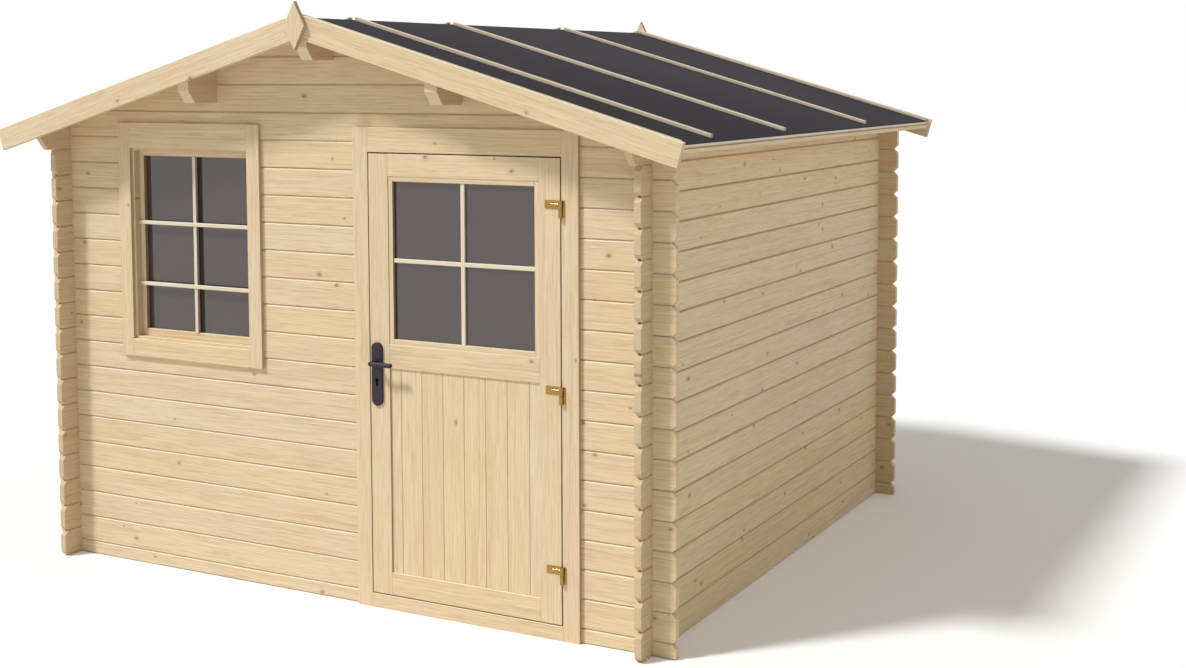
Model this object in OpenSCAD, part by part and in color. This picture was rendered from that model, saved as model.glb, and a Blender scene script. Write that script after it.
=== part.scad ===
// Garden shed of planed spruce logs with a felted saddle roof, a glazed door and a window.
// X runs across the front, Y from front to back and Z up. The origin is the middle of the
// footprint on the ground.

/* [Log walls] */
// Height that one log adds to a wall
log_h = 114; // [90:1:140]
// Thickness of a log
log_t = 28; // [21:1:50]
// Width of the building over the outer faces of the side walls
wall_w = 2900; // [2700:10:3600]
// Depth of the building over the outer faces of the front and rear walls
wall_d = 2650; // [1800:10:4000]
// How far a log runs on past the corner
log_tail = 95; // [60:1:140]
// Logs in a side wall, the planed top log included
side_logs = 17; // [17:1:18]
// Bevel along the edges of a log
seam_bevel = 5; // [2:0.5:8]
// Bevel on the corners of a log end
tail_bevel = 20; // [5:1:25]

/* [Roof] */
// Slope of the roof in degrees
roof_pitch = 16; // [12:0.5:22]
// Roof past the outer face of a side wall, measured level
eave_overhang = 190; // [150:5:260]
// Roof boards past the outer face of the front or rear wall
verge_overhang = 172; // [130:2:260]
// Thickness of the roof boards
board_t = 17; // [12:1:28]
// Thickness of the roofing felt
felt_t = 3; // [2:0.5:6]
// Width of a purlin
purlin_w = 56; // [40:1:80]
// Height of a purlin at its middle
purlin_h = 146; // [100:1:170]
// Distance of a side purlin from the ridge
purlin_x = 608; // [450:1:900]
// Length of the slanted nose on a purlin and a top log
nose_run = 40; // [10:1:60]
// Height of the slanted nose
nose_rise = 50; // [10:1:70]

/* [Roof trim] */
// Width of a bargeboard
barge_w = 95; // [80:1:140]
// Thickness of a bargeboard
barge_t = 20; // [14:1:28]
// How far a bargeboard stands up past the felt
barge_up = 14; // [2:1:18]
// Bargeboard past the eave, along the slope
barge_past_eave = 13; // [0:1:40]
// Width of a verge lath
verge_lath_w = 20; // [15:1:60]
// Width of a roof batten
batten_w = 24; // [18:1:70]
// Thickness of the laths and battens
lath_t = 14; // [10:1:28]
// Height of an eave lath
eave_lath_h = 32; // [15:1:40]
// Thickness of an eave lath
eave_lath_t = 15; // [10:1:25]
// Gap between a batten and the ridge
batten_ridge_gap = 15; // [5:1:40]
// Gap between a batten and the eave
batten_eave_gap = 35; // [20:1:80]
// Places of the battens behind the outer face of the front wall
batten_y = [178, 918, 1943];
// Width of the diamond finial
finial_w = 100; // [60:1:140]
// Height of the diamond finial
finial_h = 192; // [140:1:260]
// Thickness of the finial
finial_t = 21; // [10:1:40]
// Middle of the finial below the ridge line under the roof boards
finial_drop = 13; // [0:1:40]

/* [Floor] */
// Thickness of the floor boards
floor_t = 19; // [15:1:28]
// Width of a floor joist
joist_w = 45; // [35:1:70]
// Number of floor joists, with one under the ridge
joist_count = 7; // [5:2:9]

/* [Door] */
// Distance of the door's middle from the building's middle
door_x = 640; // [500:5:700]
// Width of the door leaf
leaf_w = 871; // [700:1:950]
// Thickness of the door leaf
leaf_t = 40; // [34:1:46]
// Gap round the door leaf
leaf_gap = 5; // [5:0.5:8]
// Width of a stile
stile_w = 92; // [70:1:110]
// Height of the top rail
top_rail_h = 89; // [70:1:120]
// Height of the lock rail
lock_rail_h = 98; // [80:1:140]
// Height of the bottom rail
bottom_rail_h = 92; // [80:1:160]
// Lower edge of the lock rail above the ground
lock_rail_z = 983; // [900:1:1050]
// Thickness of the boarded panel
panel_t = 14; // [10:1:20]
// Depth of the panel behind the face of the leaf
panel_recess = 7; // [6:1:18]
// Thickness of the glass
glass_t = 4; // [3:0.5:6]
// Depth of the door's glass behind the face of the leaf
door_glass_recess = 17; // [10:1:32]

/* [Door frame] */
// Thickness of a jamb
jamb_t = 30; // [24:1:45]
// Thickness of the frame's head
head_t = 38; // [30:1:50]
// Width of a side trim
door_trim_w = 72; // [50:1:100]
// Height of the head trim
head_trim_h = 98; // [80:1:120]
// Thickness of the outer trims
trim_t = 16; // [12:1:30]
// Width of the inner trims
inner_trim_w = 60; // [40:1:80]
// Thickness of the inner trims
inner_trim_t = 16; // [12:1:24]

/* [Door fittings] */
// Radius of a hinge knuckle
knuckle_r = 8; // [7:0.5:9]
// Height of a hinge
hinge_h = 66; // [50:1:100]
// Width of the hinge plate on the leaf
hinge_plate_w = 67; // [50:1:80]
// Height of the hinge plate on the leaf
hinge_plate_h = 31; // [20:1:34]
// Thickness of the hinge plates
hinge_plate_t = 3; // [2:0.5:4]
// Foot of a hinge's leaf plate above the hinge's middle
hinge_plate_lift = 2; // [0.5:0.5:5]
// Width of the hinge plate on the trim
hinge_strip_w = 9; // [8:1:20]
// Knuckle's clearance off the face of the leaf
knuckle_clear = 1; // [1:0.5:2]
// Hinge axis past the inner edge of the frame
axis_past_frame = 1; // [0:0.5:2]
// Leaf plate's end short of the hinge axis
hinge_plate_short = 3; // [2:0.5:5]
// Strip on the trim from the hinge axis
hinge_strip_off = 6; // [5:0.5:12]
// Root of the strip from the hinge axis
hinge_root_off = 2; // [0:0.5:4]
// Gap between the two knuckles of a hinge
knuckle_gap = 0.5; // [0.3:0.1:1]
// Radius of a hinge pin
pin_r = 4; // [3:0.5:5]
// Running gap round a pin or a spindle
run_gap = 0.05; // [0.02:0.01:0.1]
// Gap between a lever and its plate
lever_gap = 0.3; // [0.2:0.1:1]
// Room for the spindle inside the leaf, all round
lock_gap = 2; // [1:0.5:4]
// Middle heights of the hinges
hinge_z = [256, 945, 1647];
// Width of a handle plate
plate_w = 52; // [36:1:60]
// Height of a handle plate
plate_h = 256; // [200:1:280]
// Thickness of a handle plate
plate_t = 8; // [4:1:10]
// Middle of a handle plate from the edge of the leaf
plate_inset = 35; // [35:1:45]
// Middle height of a handle plate
plate_z = 956; // [900:1:1010]
// Height of the lever above the middle of the plate
lever_up = 48; // [20:1:60]
// Keyhole below the middle of the plate
keyhole_down = 24; // [20:1:45]
// Diameter of the round part of the keyhole
keyhole_d = 17; // [10:1:17]
// Width of the keyhole's slot
keyhole_slot_w = 10; // [4:1:10]
// Height of the whole keyhole
keyhole_h = 33; // [20:1:33]
// Length of the lever arm
lever_len = 104; // [80:1:130]
// Diameter of the lever arm
lever_d = 19; // [14:1:22]
// Middle of the lever arm off the plate
lever_out = 44; // [35:1:60]
// Radius of the spindle
spindle_r = 5; // [4:0.5:6]

/* [Window] */
// Distance of the window's middle from the building's middle
window_x = 738; // [700:1:760]
// Width over the window trims
window_w = 777; // [600:1:820]
// First log that the window cuts, counted from the bottom
window_log = 8; // [7:1:10]
// Width of a side trim
window_trim_w = 66; // [50:1:90]
// Top of the upper trim above the window hole
window_trim_up = 64; // [40:1:80]
// Height of the upper trim
window_head_h = 110; // [90:1:130]
// Bottom of the lower trim below the window hole
window_trim_down = 44; // [30:1:60]
// Height of the lower trim
window_foot_h = 77; // [60:1:100]
// Thickness of the window lining
lining_t = 28; // [20:1:36]
// Thickness of the lining's sill
window_sill_t = 43; // [30:1:60]
// Gap that lets the logs settle over the window lining
settle_gap = 28; // [10:1:40]
// Lining that shows inside the edge of a side trim
lining_lip = 10; // [4:1:16]
// Depth of the window lining from the outer face of the wall
lining_depth = 68; // [60:1:100]
// Depth of the sash behind the outer face of the wall
sash_back = 32; // [20:1:34]
// Thickness of the sash
sash_t = 34; // [24:1:40]
// Width of a sash stile and rail
sash_bar = 24; // [20:1:34]
// Height of the sash's bottom rail
sash_foot = 31; // [24:1:60]

/* [Hidden] */

spruce = "#e6cf9f";
felt_black = "#46444a";
brass = "#c8922b";
iron_black = "#3d3840";
glass_grey = "#645f5c";

// Overlap of a cutting tool past the face that it cuts
cut = 1;
// Logs in the front and rear walls start half a log lower than those of the side walls
half_log = log_h / 2;
wall_top = side_logs * log_h;
// Seam over the door and the window, where the gable starts
gable_z = (side_logs - 0.5) * log_h;
// Underside of the roof boards at the ridge: the slope meets the outer top edge of a side wall
ridge_z = wall_top + wall_w / 2 * tan(roof_pitch);
front_y = -wall_d / 2;
// Edges of the roof boards
verge_y = wall_d / 2 + verge_overhang;
eave_x = wall_w / 2 + eave_overhang;
felt_n = board_t + felt_t;

// Leaf, trims and frame of the door
leaf_left = door_x - leaf_w / 2;
leaf_right = door_x + leaf_w / 2;
frame_left = leaf_left - leaf_gap;
frame_right = leaf_right + leaf_gap;
sill_h = half_log;
leaf_z = sill_h + leaf_gap;
leaf_top = gable_z - head_t - leaf_gap;
leaf_h = leaf_top - leaf_z;
leaf_front = front_y - trim_t;
leaf_back = leaf_front + leaf_t;
frame_back = front_y + log_t + inner_trim_t;
stop_y = leaf_back + leaf_gap;
opening_left = frame_left - jamb_t;
opening_right = frame_right + jamb_t;
inside_left = leaf_left + stile_w;
inside_right = leaf_right - stile_w;
glass_z = lock_rail_z + lock_rail_h;

// The door stop ends one gap short of the handle plate
stop_w = plate_inset - plate_w / 2;

// Hinge axis, just in front of the gap between the leaf and its trim
hinge_x = frame_right + axis_past_frame;
hinge_y = leaf_front - knuckle_r - knuckle_clear;
plate_x = leaf_left + plate_inset;
lever_z = plate_z + lever_up;

// Window hole, and the inner edges of its lining and trims
hole_z = half_log + window_log * log_h;
lining_half = window_w / 2 - window_trim_w - lining_lip;
hole_half = lining_half + lining_t;
lining_z = hole_z + window_sill_t;
lining_top = gable_z - settle_gap - lining_t;

function roof_under(x) = ridge_z - abs(x) * tan(roof_pitch);
function seams(first, z0, z1) = [for (z = [first:log_h:z1 + cut]) if (z > z0 - cut && z < z1 + cut) z];

// Outer edge of a stack of logs, from the bottom up, with a bevel on each log edge
function stack_edge(first, z0, z1) = concat(
    [[seam_bevel, z0], [0, z0 + seam_bevel]],
    [for (z = seams(first, z0, z1)) if (z > z0 + cut && z < z1 - cut)
        each [[0, z - seam_bevel], [seam_bevel, z], [0, z + seam_bevel]]],
    [[0, z1 - seam_bevel], [seam_bevel, z1]]);

// Logs laid along X with their outer face at y = 0. half_span is from the middle of the wall to
// the outer face of the walls that cross it.
module log_stack(half_span, x0, x1, first, z0, z1, tails = true) {
    edge = stack_edge(first, z0, z1);
    inner = [for (i = [len(edge) - 1:-1:0]) [log_t - edge[i][0], edge[i][1]]];
    difference() {
        translate([x0, 0, 0]) rotate([90, 0, 90]) linear_extrude(x1 - x0) polygon(concat(edge, inner));
        for (side = [-1, 1], z = seams(first, z0, z1)) {
            translate([side * (half_span - log_t / 2), log_t / 2, z])
                cube([log_t, log_t + 2 * cut, half_log], center = true);
            if (tails)
                translate([side * (half_span + log_tail), log_t / 2, z]) rotate([0, 45, 0])
                    cube([tail_bevel * sqrt(2), log_t + 2 * cut, tail_bevel * sqrt(2)], center = true);
        }
    }
}

// Everything below the roof boards
module under_roof() {
    reach = eave_x + cut;
    rotate([90, 0, 0]) linear_extrude(2 * verge_y + 2 * cut, center = true) polygon([
        [-reach, -cut], [reach, -cut], [reach, roof_under(reach)],
        [0, ridge_z], [-reach, roof_under(reach)]]);
}

module purlin_blank(x, length) {
    bottom = roof_under(x) - purlin_h;
    translate([x, 0, bottom + purlin_h / 2 + purlin_w / 4])
        cube([purlin_w, length, purlin_h + purlin_w / 2], center = true);
}

module purlin_pockets() {
    for (x = [-purlin_x, 0, purlin_x]) purlin_blank(x, 2 * verge_y);
}

// Slanted underside at both ends of a beam whose lower face is at z
module nose_cuts(z) {
    for (side = [0, 1]) mirror([0, side, 0]) rotate([90, 0, 90])
        linear_extrude(2 * eave_x, center = true) polygon([
            [-verge_y, z + nose_rise], [-verge_y + nose_run, z], [-verge_y + nose_run, z - cut],
            [-verge_y - cut, z - cut], [-verge_y - cut, z + nose_rise]]);
}

module door_hole() {
    translate([opening_left, front_y - cut, -cut])
        cube([opening_right - opening_left, log_t + 2 * cut, gable_z + 2 * cut]);
}

module window_hole() {
    translate([-window_x - hole_half, front_y - cut, hole_z])
        cube([2 * hole_half, log_t + 2 * cut, gable_z - hole_z + cut]);
}

// Walls
module front_wall_left() {
    color(spruce) difference() {
        translate([0, front_y, 0])
            log_stack(wall_w / 2, -wall_w / 2 - log_tail, opening_left, half_log, 0, gable_z);
        window_hole();
    }
}

module front_wall_right() {
    color(spruce) translate([0, front_y, 0])
        log_stack(wall_w / 2, opening_right, wall_w / 2 + log_tail, half_log, 0, gable_z);
}

module gable_logs(z0) {
    difference() {
        intersection() {
            translate([0, front_y, 0]) log_stack(
                wall_w / 2, -wall_w / 2 - log_tail, wall_w / 2 + log_tail, half_log, z0, ridge_z);
            under_roof();
        }
        purlin_pockets();
    }
}

module front_gable() {
    color(spruce) gable_logs(gable_z);
}

module rear_wall() {
    color(spruce) mirror([0, 1, 0]) gable_logs(0);
}

module left_wall() {
    color(spruce) translate([-wall_w / 2, 0, 0]) rotate([0, 0, -90]) log_stack(
        wall_d / 2, -wall_d / 2 - log_tail, wall_d / 2 + log_tail, 0, 0, wall_top - log_h);
}

module right_wall() {
    mirror([1, 0, 0]) left_wall();
}

module left_top_log() {
    color(spruce) difference() {
        intersection() {
            translate([-wall_w / 2, 0, 0]) rotate([0, 0, -90]) log_stack(
                wall_d / 2, -verge_y, verge_y, 0, wall_top - log_h, wall_top + half_log, tails = false);
            under_roof();
        }
        nose_cuts(wall_top - log_h);
    }
}

module right_top_log() {
    mirror([1, 0, 0]) left_top_log();
}

// Purlins
module purlin(x) {
    color(spruce) difference() {
        intersection() {
            purlin_blank(x, 2 * verge_y);
            under_roof();
        }
        nose_cuts(roof_under(x) - purlin_h);
    }
}

// Roof. A slope layer lies between n0 and n1 above the underside of the boards, square to the
// slope, from the ridge to x1, and from y0 to y1.
module slope_layer(n0, n1, x0, x1, y0, y1) {
    rise = 1 / cos(roof_pitch);
    translate([0, y1, 0]) rotate([90, 0, 0]) linear_extrude(y1 - y0) polygon([
        [x0, roof_under(x0) + n0 * rise], [x1, roof_under(x1) + n0 * rise],
        [x1, roof_under(x1) + n1 * rise], [x0, roof_under(x0) + n1 * rise]]);
}

module right_roof_boards() {
    color(spruce) slope_layer(0, board_t, 0, eave_x - eave_lath_t, -verge_y, verge_y);
}

module left_roof_boards() {
    mirror([1, 0, 0]) right_roof_boards();
}

module right_roof_felt() {
    color(felt_black) slope_layer(board_t, felt_n, 0, eave_x, -verge_y, verge_y);
}

module left_roof_felt() {
    mirror([1, 0, 0]) right_roof_felt();
}

module roof_battens() {
    color(spruce) for (side = [0, 1], y = batten_y) mirror([side, 0, 0])
        slope_layer(felt_n, felt_n + lath_t, batten_ridge_gap, eave_x - batten_eave_gap,
            front_y + y - batten_w / 2, front_y + y + batten_w / 2);
}

module eave_laths() {
    top = roof_under(eave_x) + board_t / cos(roof_pitch);
    color(spruce) for (side = [0, 1]) mirror([side, 0, 0])
        translate([eave_x - eave_lath_t, -verge_y, top - eave_lath_h])
            cube([eave_lath_t, 2 * verge_y, eave_lath_h]);
}

module right_verge_laths() {
    color(spruce) for (side = [0, 1]) mirror([0, side, 0])
        slope_layer(felt_n, felt_n + lath_t, 0, eave_x, -verge_y, -verge_y + verge_lath_w);
}

module left_verge_laths() {
    mirror([1, 0, 0]) right_verge_laths();
}

module right_bargeboards() {
    length = eave_x / cos(roof_pitch) + barge_past_eave;
    top = felt_n + barge_up;
    color(spruce) for (side = [0, 1]) mirror([0, side, 0]) intersection() {
        translate([0, -verge_y - barge_t, ridge_z]) rotate([0, roof_pitch, 0])
            translate([-barge_w, 0, top - barge_w]) cube([length + barge_w, barge_t, barge_w]);
        translate([0, -verge_y - barge_t - cut, 0]) cube([2 * eave_x, barge_t + 2 * cut, 2 * ridge_z]);
    }
}

module left_bargeboards() {
    mirror([1, 0, 0]) right_bargeboards();
}

module front_finial() {
    color(spruce) translate([0, -verge_y - barge_t, ridge_z - finial_drop]) rotate([90, 0, 0])
        linear_extrude(finial_t) polygon([
            [-finial_w / 2, 0], [0, -finial_h / 2], [finial_w / 2, 0], [0, finial_h / 2]]);
}

module rear_finial() {
    mirror([0, 1, 0]) front_finial();
}

// Floor
module floor_boards() {
    inset = log_t;
    color(spruce) difference() {
        translate([-wall_w / 2 + inset, -wall_d / 2 + inset, sill_h - floor_t])
            cube([wall_w - 2 * inset, wall_d - 2 * inset, floor_t]);
        translate([opening_left, front_y, 0])
            cube([opening_right - opening_left, log_t + inner_trim_t, sill_h + cut]);
    }
}

module floor_joists() {
    length = wall_d - 2 * (log_t + inner_trim_t);
    span = wall_w - 2 * log_t - joist_w;
    color(spruce) for (i = [0:joist_count - 1])
        translate([-span / 2 + i * span / (joist_count - 1) - joist_w / 2, -length / 2, 0])
            cube([joist_w, length, sill_h - floor_t]);
}

// Door frame
module jamb_section(outer, inner) {
    reach = inner > outer ? stop_w : -stop_w;
    polygon([
        [outer, front_y], [inner, front_y], [inner, stop_y], [inner + reach, stop_y],
        [inner + reach, frame_back], [outer, frame_back]]);
}

module door_frame() {
    head_z = leaf_top + leaf_gap;
    color(spruce) union() {
        linear_extrude(gable_z) jamb_section(opening_left, frame_left);
        linear_extrude(gable_z) jamb_section(opening_right, frame_right);
        translate([opening_left, front_y, head_z])
            cube([opening_right - opening_left, frame_back - front_y, gable_z - head_z]);
        translate([frame_left, stop_y, head_z - stop_w])
            cube([frame_right - frame_left, frame_back - stop_y, stop_w]);
    }
}

module door_sill() {
    stop_back = frame_back - stop_y;
    color(spruce) difference() {
        union() {
            translate([frame_left, leaf_front, 0])
                cube([frame_right - frame_left, frame_back - leaf_front, sill_h]);
            translate([frame_left, stop_y, sill_h])
                cube([frame_right - frame_left, stop_back, stop_w]);
        }
        for (x = [frame_left - cut, frame_right - stop_w])
            translate([x, stop_y, -cut]) cube([stop_w + cut, stop_back + cut, sill_h + stop_w + 2 * cut]);
    }
}

module door_side_trims() {
    color(spruce) for (x = [frame_left - door_trim_w, frame_right])
        translate([x, leaf_front, 0]) cube([door_trim_w, trim_t, leaf_top + leaf_gap + head_trim_h]);
}

module door_head_trim() {
    color(spruce) translate([frame_left, leaf_front, leaf_top + leaf_gap])
        cube([frame_right - frame_left, trim_t, head_trim_h]);
}

module door_inner_trim() {
    color(spruce) translate([0, front_y + log_t, 0]) difference() {
        translate([opening_left - inner_trim_w, 0, sill_h])
            cube([opening_right - opening_left + 2 * inner_trim_w, inner_trim_t,
                gable_z + inner_trim_w - sill_h]);
        translate([opening_left, -cut, 0])
            cube([opening_right - opening_left, inner_trim_t + 2 * cut, gable_z]);
    }
}

// Window
// A frame of four bars round a hole, its bottom bar foot tall
module window_ring(half, z0, z1, bar, foot, y0, depth) {
    translate([-window_x, 0, 0]) difference() {
        translate([-half, y0, z0]) cube([2 * half, depth, z1 - z0]);
        translate([-half + bar, y0 - cut, z0 + foot])
            cube([2 * (half - bar), depth + 2 * cut, z1 - z0 - bar - foot]);
    }
}

module window_frame() {
    color(spruce) window_ring(hole_half, hole_z, gable_z - settle_gap, lining_t, window_sill_t,
        front_y, lining_depth);
}

module window_sash() {
    color(spruce) window_ring(lining_half, lining_z, lining_top, sash_bar, sash_foot,
        front_y + sash_back, sash_t);
}

module window_glass() {
    half = lining_half - sash_bar;
    bottom = lining_z + sash_foot;
    color(glass_grey) translate([-window_x - half, front_y + sash_back + sash_t / 2, bottom])
        cube([2 * half, glass_t, lining_top - sash_bar - bottom]);
}

module window_side_trims() {
    bottom = hole_z - window_trim_down;
    color(spruce) for (x = [-window_x - window_w / 2, -window_x + window_w / 2 - window_trim_w])
        translate([x, leaf_front, bottom])
            cube([window_trim_w, trim_t, gable_z + window_trim_up - bottom]);
}

module window_cross_trims() {
    width = window_w - 2 * window_trim_w;
    color(spruce) translate([-window_x - width / 2, leaf_front, 0]) {
        translate([0, 0, gable_z + window_trim_up - window_head_h])
            cube([width, trim_t, window_head_h]);
        translate([0, 0, hole_z - window_trim_down]) cube([width, trim_t, window_foot_h]);
    }
}

module window_inner_trim() {
    color(spruce) window_ring(hole_half + inner_trim_w, hole_z - inner_trim_w,
        gable_z + inner_trim_w, inner_trim_w, inner_trim_w, front_y + log_t, inner_trim_t);
}

// Door leaf
module door_stiles() {
    color(spruce) difference() {
        for (x = [leaf_left, inside_right])
            translate([x, leaf_front, leaf_z]) cube([stile_w, leaf_t, leaf_h]);
        translate([plate_x, leaf_front - cut, lever_z]) rotate([-90, 0, 0])
            cylinder(r = spindle_r + lock_gap, h = leaf_t + 2 * cut, $fn = 32);
    }
}

module door_rails() {
    width = inside_right - inside_left;
    color(spruce) translate([inside_left, leaf_front, 0]) {
        translate([0, 0, leaf_z]) cube([width, leaf_t, bottom_rail_h]);
        translate([0, 0, lock_rail_z]) cube([width, leaf_t, lock_rail_h]);
        translate([0, 0, leaf_top - top_rail_h]) cube([width, leaf_t, top_rail_h]);
    }
}

module door_panel() {
    bottom = leaf_z + bottom_rail_h;
    color(spruce) translate([inside_left, leaf_front + panel_recess, bottom])
        cube([inside_right - inside_left, panel_t, lock_rail_z - bottom]);
}

module door_glass() {
    color(glass_grey) translate([inside_left, leaf_front + door_glass_recess, glass_z])
        cube([inside_right - inside_left, glass_t, leaf_top - top_rail_h - glass_z]);
}

// Door fittings
module leaf_hinges() {
    color(brass) for (z = hinge_z) {
        difference() {
            union() {
                translate([hinge_x, hinge_y, z]) cylinder(r = knuckle_r, h = hinge_h / 2, $fn = 32);
                translate([hinge_x - hinge_plate_short - hinge_plate_w, leaf_front - hinge_plate_t,
                    z + hinge_plate_lift])
                    cube([hinge_plate_w, hinge_plate_t, hinge_plate_h]);
            }
            translate([hinge_x, hinge_y, z - cut])
                cylinder(r = pin_r + run_gap, h = hinge_h, $fn = 32);
        }
    }
}

module frame_hinges() {
    half = hinge_h / 2;
    strip_x = hinge_x + hinge_strip_off;
    strip_y = leaf_front - hinge_plate_t + knuckle_gap;
    strip_t = hinge_plate_t - knuckle_gap;
    color(brass) for (z = hinge_z) {
        translate([hinge_x, hinge_y, z - half]) cylinder(r = knuckle_r, h = half - knuckle_gap, $fn = 32);
        translate([hinge_x, hinge_y, z - cut]) cylinder(r = pin_r, h = half + cut, $fn = 32);
        translate([strip_x, strip_y, z - half]) cube([hinge_strip_w, strip_t, hinge_h]);
        translate([hinge_x + hinge_root_off, strip_y, z - half])
            cube([strip_x - hinge_x, strip_t, half - knuckle_gap]);
    }
}

module plate_outline() {
    straight = plate_h - plate_w;
    square([plate_w, straight], center = true);
    for (side = [-1, 1]) translate([0, side * straight / 2]) circle(d = plate_w, $fn = 48);
}

module handle_plate() {
    difference() {
        linear_extrude(plate_t) plate_outline();
        translate([0, lever_up, -cut]) cylinder(r = spindle_r + run_gap, h = plate_t + 2 * cut, $fn = 32);
        translate([0, -keyhole_down, -cut]) cylinder(d = keyhole_d, h = plate_t + 2 * cut, $fn = 48);
        translate([-keyhole_slot_w / 2, -keyhole_down - keyhole_h + keyhole_d / 2, -cut])
            cube([keyhole_slot_w, keyhole_h - keyhole_d / 2, plate_t + 2 * cut]);
    }
}

module handle_plates() {
    color(iron_black) {
        translate([plate_x, leaf_front, plate_z]) rotate([90, 0, 0]) handle_plate();
        translate([plate_x, leaf_back + plate_t, plate_z]) rotate([90, 0, 0]) handle_plate();
    }
}

// One lever with its neck, off the plate towards -Y
module lever_half() {
    arm = lever_len - lever_d / 2;
    rotate([90, 0, 0]) translate([0, 0, lever_gap])
        cylinder(d = lever_d, h = lever_out - lever_gap, $fn = 32);
    translate([0, -lever_out, 0]) {
        sphere(d = lever_d, $fn = 32);
        rotate([0, 90, 0]) cylinder(d = lever_d, h = arm, $fn = 32);
        translate([arm, 0, 0]) sphere(d = lever_d, $fn = 32);
    }
}

module door_lever() {
    reach = leaf_t + 2 * (plate_t + cut);
    color(iron_black) translate([plate_x, 0, lever_z]) {
        translate([0, leaf_front - plate_t, 0]) lever_half();
        translate([0, leaf_back + plate_t, 0]) mirror([0, 1, 0]) lever_half();
        translate([0, leaf_front - plate_t - cut, 0]) rotate([-90, 0, 0])
            cylinder(r = spindle_r, h = reach, $fn = 32);
    }
}

front_wall_left();
front_wall_right();
front_gable();
rear_wall();
left_wall();
right_wall();
left_top_log();
right_top_log();
purlin(0);  // ridge_purlin
purlin(-purlin_x);  // left_purlin
purlin(purlin_x);  // right_purlin
left_roof_boards();
right_roof_boards();
left_roof_felt();
right_roof_felt();
roof_battens();
eave_laths();
left_verge_laths();
right_verge_laths();
left_bargeboards();
right_bargeboards();
front_finial();
rear_finial();
floor_boards();
floor_joists();
door_frame();
door_sill();
door_side_trims();
door_head_trim();
door_inner_trim();
frame_hinges();
window_frame();
window_side_trims();
window_cross_trims();
window_inner_trim();
window_sash();
window_glass();
door_stiles();
door_rails();
door_panel();
door_glass();
leaf_hinges();
handle_plates();
door_lever();
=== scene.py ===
import math
import random

import bpy
import numpy as np
from mathutils import Matrix, Vector


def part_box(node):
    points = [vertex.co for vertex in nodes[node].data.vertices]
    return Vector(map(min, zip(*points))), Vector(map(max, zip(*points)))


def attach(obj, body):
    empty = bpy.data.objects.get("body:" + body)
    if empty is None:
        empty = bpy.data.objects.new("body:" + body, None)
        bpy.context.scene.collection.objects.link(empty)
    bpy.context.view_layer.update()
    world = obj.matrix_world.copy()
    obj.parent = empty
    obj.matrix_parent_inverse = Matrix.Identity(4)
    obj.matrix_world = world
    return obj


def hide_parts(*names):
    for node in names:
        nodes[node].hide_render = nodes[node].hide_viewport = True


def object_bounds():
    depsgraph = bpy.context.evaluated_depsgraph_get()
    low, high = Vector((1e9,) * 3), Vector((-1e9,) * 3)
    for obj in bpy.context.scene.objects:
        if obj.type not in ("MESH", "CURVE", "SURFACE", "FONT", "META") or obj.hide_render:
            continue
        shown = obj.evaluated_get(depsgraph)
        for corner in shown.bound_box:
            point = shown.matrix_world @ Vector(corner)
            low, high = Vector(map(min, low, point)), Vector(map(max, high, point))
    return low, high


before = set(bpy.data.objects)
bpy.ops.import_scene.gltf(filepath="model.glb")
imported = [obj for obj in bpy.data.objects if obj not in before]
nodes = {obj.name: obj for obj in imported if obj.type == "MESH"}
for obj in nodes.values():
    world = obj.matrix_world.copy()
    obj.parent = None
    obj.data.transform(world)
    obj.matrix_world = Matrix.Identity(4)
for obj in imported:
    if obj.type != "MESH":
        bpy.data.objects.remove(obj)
cadLow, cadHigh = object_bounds()
mm = 0.001
softEdge = 1.5 * mm              # the usual rounding of planed timber
mergeGap = 0.02 * mm             # CAD corners closer than this are one
flatDegrees = 0.5                # CAD faces that meet flatter than this are one
xAxis, yAxis, zAxis = Vector((1, 0, 0)), Vector((0, 1, 0)), Vector((0, 0, 1))
print("frame loaded:", len(nodes), "CAD nodes")


# Modelling helpers

def selectOnly(*pieces):
    if bpy.context.object and bpy.context.object.mode != "OBJECT":
        bpy.ops.object.mode_set(mode="OBJECT")
    bpy.ops.object.select_all(action="DESELECT")
    for piece in pieces:
        piece.select_set(True)
    if pieces:
        bpy.context.view_layer.objects.active = pieces[0]


def editAll(piece, selectMode="VERT"):
    selectOnly(piece)
    bpy.ops.object.mode_set(mode="EDIT")
    bpy.ops.mesh.select_mode(type=selectMode)
    bpy.ops.mesh.select_all(action="SELECT")


def leaveEdit():
    bpy.ops.object.mode_set(mode="OBJECT")


def applyPlace(piece):
    selectOnly(piece)
    bpy.ops.object.transform_apply(location=True, rotation=True, scale=True)


def duplicatePiece(piece, name, shift=(0, 0, 0)):
    selectOnly(piece)
    bpy.ops.object.duplicate(linked=False)
    twin = bpy.context.object
    twin.name = name
    twin.location = shift
    applyPlace(twin)
    return twin


def joinPieces(pieces, name):
    selectOnly(*pieces)
    if len(pieces) > 1:
        bpy.ops.object.join()
    whole = bpy.context.view_layer.objects.active
    whole.name = name
    return whole


def roundEdges(piece, width, segments=2, angle=30):
    selectOnly(piece)
    bevel = piece.modifiers.new("rounded edges", "BEVEL")
    bevel.width = width
    bevel.segments = segments
    bevel.limit_method = "ANGLE"
    bevel.angle_limit = math.radians(angle)
    bpy.ops.object.modifier_apply(modifier=bevel.name)


def addBox(name, low, high):
    low, high = Vector(low), Vector(high)
    bpy.ops.object.select_all(action="DESELECT")
    bpy.ops.mesh.primitive_cube_add(size=1, location=(low + high) / 2, scale=high - low)
    piece = bpy.context.object
    piece.name = name
    applyPlace(piece)
    return piece


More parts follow.
